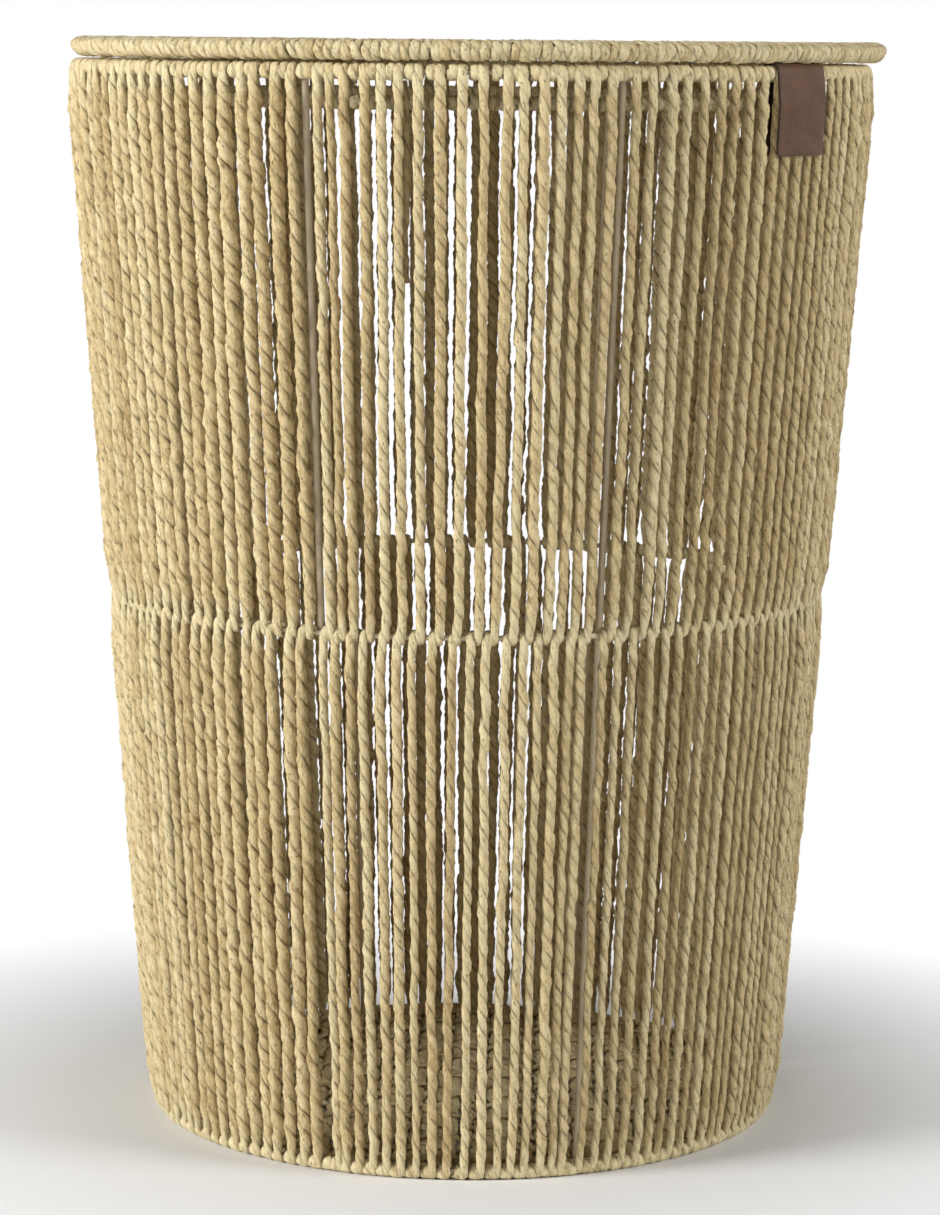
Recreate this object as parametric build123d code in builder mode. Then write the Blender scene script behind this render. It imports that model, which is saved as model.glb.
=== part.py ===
from build123d import *
import os
from math import asin, atan2, cos, degrees, radians, sin, sqrt

# Overall shape of the basket, in millimetres
top_radius = 200.0  # outside of the wall at the top ring
bottom_radius = 160.5  # outside of the wall at the bottom ring
top_ring_height = 527.7  # centre of the top ring above the floor
middle_ring_height = 266.4

# Rings: a wire bound all round with cord, given by the thickness over the cord
top_ring_thickness = 8.1
middle_ring_thickness = 7.8
bottom_ring_thickness = 7.7
ring_sides = 8

# Uprights: straight wires on the inner side of the rings
upright_diameter = 3.4
upright_count = 8
upright_end_above_floor = 1.5
upright_end_above_ring = 2.0
weld_gap = 0.2
wire_sides = 8

# Wall: cords strung between the rings, in bays from upright to upright
cord_diameter = 5.0
cord_sides = 6
cords_per_bay = 17
cord_proud = 2.0  # outside of the cords beyond the rings
cord_end_gap = 0.4

# Base: a panel woven inside the bottom ring
base_height = 2.6  # underside above the floor
base_thickness = 5.0
panel_gap = 0.2
notch_gap = 0.3

# Lid: rim, woven panel and the locating ring that drops into the mouth
lid_overhang = 3.5  # outside of the rim beyond the wall of the basket
lid_rim_thickness = 8.2
lid_panel_thickness = 5.0
lid_panel_border = 8.0  # closed edge inside the rim
lid_slot_columns = 10
lid_slot_rows = 5
lid_slot_width = 13.0
lid_slot_length = 48.0
lid_slot_step = 75.0  # from row to row
lid_gap = 2.65  # between the top ring and the underside of the rim
lid_seat_gap = 0.3
rest_turn_count = 58
rest_turn_length = 4.6
rest_turn_width = 6.4
locating_ring_thickness = 7.3
locating_ring_drop = 14.0  # centre below the centre of the top ring
lid_play = 3.9  # between the locating ring and the uprights, all round
lid_side_gap = 0.3  # play left on the side that the lid lies over to
lid_bar_diameter = 3.0
lid_bar_offset = 70.0  # each bar from the middle of the lid
lid_weld_gap = 0.1

# Leather tab: a strap folded over the top ring and sewn through the wall
tab_gap_count = 11  # gaps between cords from the front right upright to the middle of the tab
tab_width = 36.0
tab_thickness = 1.4
tab_drop = 38.0  # from the centre of the top ring to the lower edge
tab_slack = 0.15  # between the leather and what it is folded round
stitch_diameter = 1.2
stitch_hole_gap = 0.2
stitch_knot_diameter = 2.4
stitch_knot_thickness = 0.6
stitch_above_edge = 6.5
stitch_sides = 6

# Heights, radii and angles that follow from the sizes above
bottom_ring_height = bottom_ring_thickness / 2
top_of_ring = top_ring_height + top_ring_thickness / 2
top_weld_radius = top_radius - top_ring_thickness - weld_gap
bottom_weld_radius = bottom_radius - bottom_ring_thickness - weld_gap
bay_angle = 360 / upright_count
cord_pitch = bay_angle / cords_per_bay
front = -90
first_upright = front - bay_angle / 2
half_side_angle = 180 / ring_sides


def upright_outside(height):
    share = (height - bottom_ring_height) / (top_ring_height - bottom_ring_height)
    return bottom_weld_radius + share * (top_weld_radius - bottom_weld_radius)


def ring_section(radius, height, thickness, middle=0.0):
    with BuildSketch(Plane.XZ) as section:
        with Locations((middle + radius, height)):
            RegularPolygon(thickness / 2, ring_sides, major_radius=False, rotation=half_side_angle)
    return section.sketch


def wire_section(diameter):
    return RegularPolygon(
        diameter / 2, wire_sides, major_radius=False, rotation=180 / wire_sides
    )


def leaning_plane(angle, low_radius, low_height, high_radius, high_height):
    outward = Vector(1, 0, 0).rotate(Axis.Z, angle)
    up = Vector(0, 0, 1)
    rise = outward * (high_radius - low_radius) + up * (high_height - low_height)
    return Plane(outward * low_radius + up * low_height, x_dir=up.cross(outward), z_dir=rise)


def finish(piece, name):
    piece.part.label = name
    export_step(piece.part, f"parts/{name}.step")
    print(name, len(piece.part.solids()), round(piece.part.volume))


os.makedirs("parts", exist_ok=True)

# Rings of the basket
top_ring_radius = top_radius - top_ring_thickness / 2
bottom_ring_radius = bottom_radius - bottom_ring_thickness / 2
middle_ring_radius = upright_outside(middle_ring_height) + weld_gap + middle_ring_thickness / 2

with BuildPart() as top_ring:
    add(ring_section(top_ring_radius, top_ring_height, top_ring_thickness))
    revolve(axis=Axis.Z)
finish(top_ring, "top_ring")

with BuildPart() as middle_ring:
    add(ring_section(middle_ring_radius, middle_ring_height, middle_ring_thickness))
    revolve(axis=Axis.Z)
finish(middle_ring, "middle_ring")

with BuildPart() as bottom_ring:
    add(ring_section(bottom_ring_radius, bottom_ring_height, bottom_ring_thickness))
    revolve(axis=Axis.Z)
finish(bottom_ring, "bottom_ring")

# Uprights, from the front left one round to the right
upright_names = (
    "front_left",
    "front_right",
    "right_front",
    "right_back",
    "back_right",
    "back_left",
    "left_back",
    "left_front",
)
upright_top = top_ring_height + upright_end_above_ring


def upright_plane(angle):
    return leaning_plane(
        angle,
        upright_outside(upright_end_above_floor) - upright_diameter / 2,
        upright_end_above_floor,
        upright_outside(upright_top) - upright_diameter / 2,
        upright_top,
    )


upright_length = (upright_top - upright_end_above_floor) / upright_plane(front).z_dir.Z

for number, place in enumerate(upright_names):
    with BuildPart() as upright:
        with BuildSketch(upright_plane(first_upright + number * bay_angle)):
            wire_section(upright_diameter)
        extrude(amount=upright_length)
    finish(upright, f"upright_{place}")

# Wall cords: one straight cord for each tier, repeated round each bay
bay_names = (
    "front",
    "front_right",
    "right",
    "back_right",
    "back",
    "back_left",
    "left",
    "front_left",
)
cord_inset = cord_diameter / 2 - cord_proud
middle_radius = middle_ring_radius + middle_ring_thickness / 2
upper_cord_low = middle_ring_height + middle_ring_thickness / 2 + cord_end_gap
upper_cord_high = top_ring_height - top_ring_thickness / 2 - cord_end_gap
lower_cord_low = bottom_ring_thickness + cord_end_gap
lower_cord_high = middle_ring_height - middle_ring_thickness / 2 - cord_end_gap


def wall_cord(low_radius, low_height, high_radius, high_height):
    plane = leaning_plane(0, low_radius - cord_inset, low_height, high_radius - cord_inset, high_height)
    with BuildPart() as cord:
        with BuildSketch(plane):
            RegularPolygon(cord_diameter / 2, cord_sides)
        extrude(amount=(high_height - low_height) / plane.z_dir.Z)
    return cord.part


upper_cord = wall_cord(middle_radius, upper_cord_low, top_radius, upper_cord_high)
lower_cord = wall_cord(bottom_radius, lower_cord_low, middle_radius, lower_cord_high)

for number, place in enumerate(bay_names):
    bay_start = first_upright + number * bay_angle
    with BuildPart() as upper_cords:
        with PolarLocations(0, cords_per_bay, bay_start + cord_pitch / 2, bay_angle):
            add(upper_cord)
    finish(upper_cords, f"upper_cords_{place}")
    with BuildPart() as lower_cords:
        with PolarLocations(0, cords_per_bay, bay_start, bay_angle):
            add(lower_cord)
    finish(lower_cords, f"lower_cords_{place}")

# Base panel, notched where the uprights pass
base_radius = bottom_radius - bottom_ring_thickness - panel_gap

with BuildPart() as base_panel:
    with BuildSketch(Plane.XY.offset(base_height)):
        Circle(base_radius)
    extrude(amount=base_thickness)
    for number in range(upright_count):
        with BuildSketch(upright_plane(first_upright + number * bay_angle)):
            wire_section(upright_diameter + 2 * notch_gap)
        extrude(amount=upright_length, both=True, mode=Mode.SUBTRACT)
finish(base_panel, "base_panel")

# Leather tab: front leaf, fold over the top ring and inner leaf in one strap
tab_angle = first_upright + bay_angle + tab_gap_count * cord_pitch
up = Vector(0, 0, 1)
tab_outward = Vector(1, 0, 0).rotate(Axis.Z, tab_angle)
tab_sideways = tab_outward.cross(up)
tab_plane = Plane((0, 0, 0), x_dir=tab_outward, z_dir=tab_sideways)
fold_radius = top_ring_thickness / 2 / cos(radians(half_side_angle)) + tab_slack
tab_low = top_ring_height - tab_drop
wall_slope = (top_radius - middle_radius) / (top_ring_height - middle_ring_height)
ring_bow = top_ring_radius - sqrt(top_ring_radius**2 - (tab_width / 2) ** 2)
bend_radius = fold_radius + ring_bow / 2
fold_top = top_ring_height + bend_radius
front_leaf = top_ring_radius + fold_radius + cord_proud
front_fold = front_leaf + bend_radius * wall_slope
inner_fold = top_ring_radius - fold_radius - ring_bow
front_low = front_leaf - tab_drop * wall_slope
stitch_height = tab_low + stitch_above_edge
stitch_back = inner_fold - tab_thickness
stitch_front = front_low + stitch_above_edge * wall_slope + tab_thickness + stitch_hole_gap
stitch_offset = top_ring_radius * sin(radians(cord_pitch))


def stitch_plane(radius, side):
    return Plane(
        tab_outward * radius + tab_sideways * (side * stitch_offset) + up * stitch_height,
        x_dir=up,
        z_dir=tab_outward,
    )


with BuildPart() as leather_tab:
    with BuildSketch(tab_plane):
        with BuildLine():
            FilletPolyline(
                (front_low, tab_low),
                (front_fold, fold_top),
                (inner_fold, fold_top),
                (inner_fold, tab_low),
                radius=bend_radius,
            )
            offset(amount=tab_thickness, side=Side.RIGHT)
        make_face()
    extrude(amount=tab_width / 2, both=True)
    for side in (-1, 1):
        with BuildSketch(stitch_plane(stitch_back - tab_thickness, side)):
            RegularPolygon(stitch_diameter / 2 + stitch_hole_gap, stitch_sides)
        extrude(until=Until.LAST, mode=Mode.SUBTRACT)
finish(leather_tab, "leather_tab")

with BuildPart() as tab_stitches:
    for side in (-1, 1):
        with BuildSketch(stitch_plane(stitch_back, side)):
            RegularPolygon(stitch_diameter / 2, stitch_sides)
        extrude(amount=stitch_front - stitch_back)
        for radius in (stitch_back - stitch_knot_thickness, stitch_front):
            with BuildSketch(stitch_plane(radius, side)):
                RegularPolygon(stitch_knot_diameter / 2, stitch_sides)
            extrude(amount=stitch_knot_thickness)
finish(tab_stitches, "tab_stitches")

# Lid: rim and openwork panel, lying over to one side by its play
lid_shift = lid_play - lid_side_gap
lid_axis = Axis((lid_shift, 0, 0), (0, 0, 1))
lid_radius = top_radius + lid_overhang
lid_rim_radius = lid_radius - lid_rim_thickness / 2
lid_rim_height = top_of_ring + lid_gap + lid_rim_thickness / 2
lid_panel_radius = lid_radius - lid_rim_thickness - panel_gap
lid_panel_low = lid_rim_height - lid_panel_thickness / 2
lid_slot_pitch = lid_bar_offset / 2  # keeps a closed strip over each bar


def lid_plane(height):
    return Plane((lid_shift, 0, height))


with BuildPart() as lid_rim:
    add(ring_section(lid_rim_radius, lid_rim_height, lid_rim_thickness, lid_shift))
    revolve(axis=lid_axis)
finish(lid_rim, "lid_rim")

with BuildPart() as lid_panel:
    with BuildSketch(lid_plane(lid_panel_low)):
        Circle(lid_panel_radius)
    extrude(amount=lid_panel_thickness)
    with BuildSketch(lid_plane(lid_panel_low)):
        with GridLocations(lid_slot_pitch, lid_slot_step, lid_slot_columns, lid_slot_rows):
            Rectangle(lid_slot_width, lid_slot_length)
        Circle(lid_panel_radius - lid_panel_border, mode=Mode.INTERSECT)
    extrude(amount=lid_panel_thickness, mode=Mode.SUBTRACT)
finish(lid_panel, "lid_panel")

# Turns of cord under the rim that the lid rests on, left out above the leather tab
tab_from_lid = tab_outward * top_ring_radius - lid_axis.position
tab_lid_angle = degrees(atan2(tab_from_lid.Y, tab_from_lid.X))
tab_half_angle = degrees(asin((tab_width / 2 + rest_turn_length) / lid_rim_radius))

with BuildPart() as lid_rest_turns:
    with BuildSketch(lid_plane(top_of_ring + lid_seat_gap)):
        with PolarLocations(
            lid_rim_radius,
            rest_turn_count,
            tab_lid_angle + tab_half_angle,
            360 - 2 * tab_half_angle,
            endpoint=True,
        ):
            Rectangle(rest_turn_width, rest_turn_length)
    extrude(amount=lid_gap - lid_seat_gap)
finish(lid_rest_turns, "lid_rest_turns")

# Locating ring, hung by posts from two bars under the panel
locating_ring_height = top_ring_height - locating_ring_drop
locating_ring_outside = upright_outside(locating_ring_height) - upright_diameter - lid_play
locating_ring_radius = locating_ring_outside - locating_ring_thickness / 2
lid_bar_height = lid_panel_low - lid_weld_gap - lid_bar_diameter / 2
lid_bar_reach = sqrt(lid_panel_radius**2 - (lid_bar_offset + lid_bar_diameter / 2) ** 2)
post_low = locating_ring_height + locating_ring_thickness / 2 + lid_weld_gap
post_high = lid_bar_height - lid_bar_diameter / 2 - lid_weld_gap
post_reach = sqrt(locating_ring_radius**2 - lid_bar_offset**2)

with BuildPart() as lid_locating_ring:
    add(
        ring_section(
            locating_ring_radius, locating_ring_height, locating_ring_thickness, lid_shift
        )
    )
    revolve(axis=lid_axis)
finish(lid_locating_ring, "lid_locating_ring")

for side, place in ((-1, "left"), (1, "right")):
    with BuildPart() as lid_bar:
        with BuildSketch(Plane.XZ):
            with Locations((lid_shift + side * lid_bar_offset, lid_bar_height)):
                wire_section(lid_bar_diameter)
        extrude(amount=lid_bar_reach, both=True)
    finish(lid_bar, f"lid_bar_{place}")

with BuildPart() as lid_posts:
    with BuildSketch(lid_plane(post_low)):
        with GridLocations(2 * lid_bar_offset, 2 * post_reach, 2, 2):
            wire_section(lid_bar_diameter)
    extrude(amount=post_high - post_low)
finish(lid_posts, "lid_posts")
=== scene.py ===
import bpy
import numpy as np
from mathutils import Matrix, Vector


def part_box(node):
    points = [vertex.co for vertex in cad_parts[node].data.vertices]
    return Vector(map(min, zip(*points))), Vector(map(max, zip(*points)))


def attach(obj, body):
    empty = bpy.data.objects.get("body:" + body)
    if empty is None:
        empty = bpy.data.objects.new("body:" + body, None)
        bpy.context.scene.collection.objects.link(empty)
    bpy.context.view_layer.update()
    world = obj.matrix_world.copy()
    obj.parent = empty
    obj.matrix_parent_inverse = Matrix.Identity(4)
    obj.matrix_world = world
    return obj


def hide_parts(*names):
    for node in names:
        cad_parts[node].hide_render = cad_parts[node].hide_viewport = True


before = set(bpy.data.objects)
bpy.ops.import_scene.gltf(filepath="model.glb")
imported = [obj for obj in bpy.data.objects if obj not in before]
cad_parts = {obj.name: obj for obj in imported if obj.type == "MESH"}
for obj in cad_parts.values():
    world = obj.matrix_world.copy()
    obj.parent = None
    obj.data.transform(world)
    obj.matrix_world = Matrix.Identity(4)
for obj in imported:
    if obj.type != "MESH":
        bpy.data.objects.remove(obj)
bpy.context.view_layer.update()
mm = 0.001
circle = 2 * np.pi
origin = np.zeros(3)
rightward = np.array([1.0, 0.0, 0.0])
upward = np.array([0.0, 0.0, 1.0])
noiseRange = (0.3, 0.7)  # what most of a noise lies between
print("frame loaded,", len(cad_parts), "nodes")


# shader helpers

def newMaterial(name):
    material = bpy.data.materials.new(name)
    material.use_nodes = True
    shader = material.node_tree.nodes["Principled BSDF"]
    return material, material.node_tree, shader


def feedNode(tree, node, feeds):  # links what comes from another node, and sets plain values
    for socket, value in feeds.items():
        if isinstance(value, bpy.types.NodeSocket):
            tree.links.new(value, node.inputs[socket])
        else:
            node.inputs[socket].default_value = value


def addNode(tree, kind, feeds=None, **settings):
    made = tree.nodes.new(kind)
    for key, value in settings.items():
        setattr(made, key, value)
    feedNode(tree, made, feeds or {})
    return made


def noiseAt(tree, vector, scale, detail=3.0, roughness=0.55):
    feeds = {"Vector": vector, "Scale": scale, "Detail": detail, "Roughness": roughness}
    return addNode(tree, "ShaderNodeTexNoise", feeds).outputs["Fac"]


def objectPlace(tree):
    return addNode(tree, "ShaderNodeTexCoord").outputs["Object"]


def meshValue(tree, name):
    return addNode(tree, "ShaderNodeAttribute", attribute_name=name).outputs["Fac"]


def rampOf(tree, value, stops):
    ramp = addNode(tree, "ShaderNodeValToRGB", {"Fac": value})
    band = ramp.color_ramp
    while len(band.elements) < len(stops):
        band.elements.new(0.5)
    for element, (place, colour) in zip(band.elements, stops):
        element.position = place
        element.color = (*colour, 1)
    return ramp.outputs["Color"]


def spread(tree, value, low, high, toLow=0.0, toHigh=1.0):
    feeds = {"Value": value, "From Min": low, "From Max": high, "To Min": toLow, "To Max": toHigh}
    return addNode(tree, "ShaderNodeMapRange", feeds).outputs["Result"]


def mixColour(tree, share, first, second):
    ends = [end if isinstance(end, bpy.types.NodeSocket) else (*end, 1) for end in (first, second)]
    feeds = {0: share, 6: ends[0], 7: ends[1]}  # numbers of the mix node's colour sockets
    return addNode(tree, "ShaderNodeMix", feeds, data_type="RGBA").outputs[2]


def joinValues(tree, operation, first, second):
    return addNode(tree, "ShaderNodeMath", {0: first, 1: second}, operation=operation).outputs["Value"]


def bumpFrom(tree, height, strength, distance):
    feeds = {"Height": height, "Strength": strength, "Distance": distance}
    return addNode(tree, "ShaderNodeBump", feeds).outputs["Normal"]


# twisted paper cord

cord = {
    "unlike": 0.07,  # share that one cord's thickness differs from the next by
    "mostUnlike": 0.14,
    "lay": 19 * mm,  # one full turn of the two plies
    "layUnlike": 0.1,
    "twistWander": 0.7,  # radians that the plies run ahead or behind
    "twistLength": 28 * mm,
    "fibreTurn": 0.55,  # share of the plies' twist that their fibres turn back
    "flat": 1.25 * mm,  # half its thickness where it is pulled flat round a wire
    "easing": 15 * mm,  # from flat at a ring to round in the wall
    "plyAngles": (-90, -72, -26, 26, 72),  # places round one ply, in degrees from its crown
    "plyShape": (0.76, 0.95, 1.04, 1.04, 0.95),  # how far out each place lies
    "plyValleyShade": (1.0, 0.1, 0.0, 0.0, 0.1),  # share of the painted shade that each place takes, full in the valley between the plies
    "lump": 0.05,  # share that the thickness wanders by
    "lumpLength": 4.5 * mm,
    "slub": 0.03,  # the same over long stretches
    "slubLength": 55 * mm,
    "crumple": 0.072,  # share that each line of paper along the cord rises or sinks by
    "crumpleLength": 3 * mm,
    "unequal": 0.08,  # one ply fatter than the other
    "unequalLength": 30 * mm,
    "wave": 0.3 * mm,  # how far the line wanders sideways
    "waveOut": 0.18 * mm,
    "waveLength": 24 * mm,
    "valleyShade": 0.7,  # how dark the painted shade in the valley between the plies is, and how that wanders along the cord
    "valleyShadeWander": 0.35,
    "valleyShadeLeast": 0.1,
    "valleyShadeLength": 8 * mm,
    "smoothPaintedLight": 1.2,  # painted light: rise in tone where the paper is pulled smooth round a ring, so the ring turns show lighter
    "plainTone": 0.5,
    "grainShift": 9.0,  # metres that the grain may start further on from cord to cord
    "step": 1.4 * mm,
    "arcSteps": 12,
    "paleStraw": (0.84, 0.715, 0.425),
    "midStraw": (0.68, 0.53, 0.272),
    "deepStraw": (0.42, 0.285, 0.115),
    # colour of the painted shade in the valleys between the plies
    "valleyShadeBrown": (0.14, 0.078, 0.027),
    "fleckBrown": (0.21, 0.13, 0.052),
    "fibreGrain": (230, 22),  # thin streaks, as noise per metre along the cord and per turn round it
    "patchGrain": (70, 2.5),  # paler and darker lengths of paper
    "wrinkleGrain": (500, 11),  # creased paper across the ply
    "fleckGrain": (300, 17),
    "breakGrain": (150, 3),  # the painted valley shade shows only in places
    "toneShare": 0.3,  # share of the tone that the whole cord has, the rest comes from the patches
    "strawStops": (0.24, 0.5, 0.72),  # tones of the deep, the middle and the pale straw
    "paleStreaks": (0.5, 0.68),  # from no streak to a full one
    "deepStreaks": (0.46, 0.3),
    "streakDepth": 0.8,
    "flecks": (0.6, 0.68),
    "fleckDepth": 0.75,
    "breaks": (0.43, 0.56),
    "breakLeast": 0.12,
    "rough": (0.9, 0.68),  # between the fibres and on them
    "wrinkleShare": 0.8,
    "bumpStrength": 1.0,
    "bumpDeep": 1.1 * mm,
}


def cordNoise(tree, grain, detail, roughness=0.55):  # noise in the cord's own coordinates
    run = addNode(tree, "ShaderNodeUVMap", uv_map="cordRun").outputs["UV"]
    scaled = addNode(tree, "ShaderNodeMapping", {"Vector": run, "Scale": (*grain, 1)})
    return noiseAt(tree, scaled.outputs["Vector"], 1.0, detail, roughness)


def makeCordMaterial():
    material, tree, shader = newMaterial("twisted_paper_cord")
    fibre = cordNoise(tree, cord["fibreGrain"], detail=5.0, roughness=0.7)
    patch = cordNoise(tree, cord["patchGrain"], detail=3.0)
    wrinkle = cordNoise(tree, cord["wrinkleGrain"], detail=3.0)
    fleck = cordNoise(tree, cord["fleckGrain"], detail=2.0)
    broken = cordNoise(tree, cord["breakGrain"], detail=2.0)
    # the whole cord's tone, with the painted light on the ring turns
    wholeToneAndRingLight = joinValues(tree, "MULTIPLY", meshValue(tree, "cordToneAndRingLight"), cord["toneShare"])
    patchTone = joinValues(tree, "MULTIPLY", patch, 1 - cord["toneShare"])
    straws = (cord["deepStraw"], cord["midStraw"], cord["paleStraw"])
    stops = list(zip(cord["strawStops"], straws))
    straw = rampOf(tree, joinValues(tree, "ADD", wholeToneAndRingLight, patchTone), stops)
    paleStreak = spread(tree, fibre, *cord["paleStreaks"], 0.0, cord["streakDepth"])
    straw = mixColour(tree, paleStreak, straw, cord["paleStraw"])
    deepStreak = spread(tree, fibre, *cord["deepStreaks"], 0.0, cord["streakDepth"])
    straw = mixColour(tree, deepStreak, straw, cord["deepStraw"])
    fleck = spread(tree, fleck, *cord["flecks"], 0.0, cord["fleckDepth"])
    straw = mixColour(tree, fleck, straw, cord["fleckBrown"])
    # painted shade: the valleys between the plies darken toward the shade brown, broken up along the cord
    broken = spread(tree, broken, *cord["breaks"], cord["breakLeast"], 1.0)
    valleyShade = joinValues(tree, "MULTIPLY", meshValue(tree, "paintedShadeAndCutEdge"), broken)
    straw = mixColour(tree, valleyShade, straw, cord["valleyShadeBrown"])
    height = joinValues(tree, "ADD", fibre, joinValues(tree, "MULTIPLY", wrinkle, cord["wrinkleShare"]))
    feedNode(tree, shader, {
        "Base Color": straw,
        "Roughness": spread(tree, fibre, *noiseRange, *cord["rough"]),
        "Specular IOR Level": 0.28,
        "Sheen Weight": 0.08,
        "Sheen Roughness": 0.5,
        "Normal": bumpFrom(tree, height, cord["bumpStrength"], cord["bumpDeep"]),
    })
    return material


def smooth(share):  # eases a share in and out
    return share * share * (3 - 2 * share)


def wander(rng, run, length, amount):  # smooth random values along a run
    knots = max(int(np.ceil(run[-1] / length)) + 3, 4)
    values = rng.normal(0, amount, knots)
    place = run / length
    first = place.astype(int)
    share = smooth(place - first)
    return values[first] * (1 - share) + values[first + 1] * share


def unit(vectors):
    return vectors / np.linalg.norm(vectors, axis=-1, keepdims=True)


def runAlong(route):  # length of the route up to each of its points
    gaps = np.linalg.norm(np.diff(route, axis=0), axis=1)
    return np.concatenate([[0.0], np.cumsum(gaps)])


def headingOf(route, closed):
    onward = np.roll(route, -1, axis=0)
    backward = np.roll(route, 1, axis=0)
    if not closed:
        onward[-1] = route[-1]
        backward[0] = route[0]
    return unit(onward - backward)


def squareTo(heading, guide):  # the guide's direction, turned square to the heading
    return unit(guide - heading * np.sum(guide * heading, axis=1, keepdims=True))


def newStore():
    return {"points": [], "quads": [], "runs": [], "tonesAndRingLight": [], "paintedShadesAndCutEdges": [], "count": 0}


def crossSection():
    angles = np.radians(cord["plyAngles"])
    around = np.concatenate([angles, angles + np.pi])
    shape = np.tile(cord["plyShape"], 2)
    # painted valley shade at each place round the section
    columnShade = np.tile(cord["plyValleyShade"], 2)
    firstPly = np.repeat([1.0, -1.0], len(angles))
    return around, shape, columnShade, firstPly


def twistCord(store, route, facing, halfThick, halfWide, rng, closed=False, rough=1.0):
    around, shape, columnShade, firstPly = crossSection()
    rows, columns = len(route), len(around)
    heading = headingOf(route, closed)
    facing = squareTo(heading, facing)
    sideways = np.cross(heading, facing)
    run = runAlong(route)
    if closed:
        length = run[-1] + np.linalg.norm(route[0] - route[-1])
        turns = max(round(length / cord["lay"]), 1)
        twist = -circle * turns * np.arange(rows) / rows
    else:
        lay = cord["lay"] * (1 + rng.uniform(-cord["layUnlike"], cord["layUnlike"]))
        twist = -circle * run / lay + wander(rng, run, cord["twistLength"], cord["twistWander"])
    twist = twist + rng.uniform(0, circle)
    angle = around[None, :] + twist[:, None]
    rough = np.broadcast_to(rough, rows)
    lump = wander(rng, run, cord["lumpLength"], cord["lump"])
    slub = wander(rng, run, cord["slubLength"], cord["slub"])
    swell = 1 + (lump + slub) * rough
    lean = wander(rng, run, cord["unequalLength"], cord["unequal"])
    radius = shape[None, :] * (1 + lean[:, None] * firstPly[None, :]) * swell[:, None]
    crumple = [wander(rng, run, cord["crumpleLength"], cord["crumple"]) * rough for column in around]
    radius = radius * (1 + np.stack(crumple, -1))
    points = (
        route[:, None, :]
        + (radius * np.cos(angle) * halfThick[:, None])[:, :, None] * facing[:, None, :]
        + (radius * np.sin(angle) * halfWide[:, None])[:, :, None] * sideways[:, None, :]
    )
    store["points"].append(points.reshape(-1, 3))
    # painted shade in the valleys between the plies, weaker where the paper is pulled smooth round a ring
    valleyShade = cord["valleyShade"] + wander(rng, run, cord["valleyShadeLength"], cord["valleyShadeWander"])
    valleyShade = rough * np.clip(valleyShade, cord["valleyShadeLeast"], 1)
    store["paintedShadesAndCutEdges"].append((columnShade[None, :] * valleyShade[:, None]).ravel())
    # painted light: the tone is raised where the paper is pulled smooth round a ring
    toneAndRingLight = rng.uniform(0, 1) + cord["smoothPaintedLight"] * (1 - rough)
    store["tonesAndRingLight"].append(np.repeat(toneAndRingLight, columns))
    skinRows(store, rows, columns, run, rng.uniform(0, cord["grainShift"]), closed)


def skinRows(store, rows, columns, run, shift, closed):  # faces over rows of points, with their grain
    last = rows if closed else rows - 1
    row, column = np.meshgrid(np.arange(last), np.arange(columns), indexing="ij")
    nextRow, nextColumn = (row + 1) % rows, (column + 1) % columns
    quads = np.stack(
        [
            row * columns + column,
            row * columns + nextColumn,
            nextRow * columns + nextColumn,
            nextRow * columns + column,
        ],
        axis=-1,
    ).reshape(-1, 4)
    along = np.append(run, 2 * run[-1] - run[-2]) + shift
    steep = cord["fibreTurn"] / cord["lay"]  # fibres lie nearer to the cord's own line than the plies do
    corners = ((row, column), (row, column + 1), (row + 1, column + 1), (row + 1, column))
    runs = [np.stack([along[down], over / columns - steep * along[down]], -1) for down, over in corners]
    runs = np.stack(runs, axis=2).reshape(-1, 2)
    if not closed:  # strips of four-sided faces close both ends
        half = np.arange(columns // 2 - 1)
        start = np.stack([half + 1, half, columns - 1 - half, columns - 2 - half], -1)
        end = start[:, ::-1] + (rows - 1) * columns
        quads = np.concatenate([quads, start, end])
        runs = np.concatenate([runs, np.full((start.size + end.size, 2), shift)])
    store["quads"].append(quads + store["count"])
    store["runs"].append(runs)
    store["count"] += rows * columns


def makePiece(name, store, material, body, slot, *nodes):
    mesh = bpy.data.meshes.new(name)
    points = np.concatenate(store["points"])
    points[:, 2] = np.maximum(points[:, 2], 0)  # nothing sinks into the floor
    quads = np.concatenate(store["quads"])
    mesh.from_pydata(points.tolist(), [], quads.tolist())
    mesh.uv_layers.new(name="cordRun").data.foreach_set("uv", np.concatenate(store["runs"]).ravel())
    # the painted valley shade, and the leather's cut-edge colour with its painted back shade, go onto the
    # points
    for key, values in (("cordToneAndRingLight", "tonesAndRingLight"), ("paintedShadeAndCutEdge", "paintedShadesAndCutEdges")):
        layer = mesh.attributes.new(key, "FLOAT", "POINT")
        layer.data.foreach_set("value", np.concatenate(store[values]))
    mesh.shade_smooth()
    mesh.materials.append(material)
    piece = bpy.data.objects.new(name, mesh)
    bpy.context.scene.collection.objects.link(piece)
    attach(piece, body)
    if nodes:
        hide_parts(*nodes)


def ringOf(node):
    low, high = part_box(node)
    thickness = high.z - low.z
    return {
        "middle": np.array([(low.x + high.x) / 2, (low.y + high.y) / 2, 0.0]),
        "height": (low.z + high.z) / 2,
        "thickness": thickness,
        "radius": (high.x - low.x) / 2 - thickness / 2,
    }


def inSpace(middle, degreesRound, out, side, up):  # from outwards, sideways and up to the shared frame
    angle = np.radians(degreesRound)
    outward = np.array([np.cos(angle), np.sin(angle), 0.0])
    sideways = np.array([-np.sin(angle), np.cos(angle), 0.0])
    return middle + out[:, None] * outward + side[:, None] * sideways + up[:, None] * upward


cordMaterial = makeCordMaterial()
topRing, middleRing, bottomRing = ringOf("top_ring"), ringOf("middle_ring"), ringOf("bottom_ring")
wallSlope = (topRing["radius"] - middleRing["radius"]) / (topRing["height"] - middleRing["height"])
print("cord ready")


# wall: cords strung in two tiers

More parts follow.
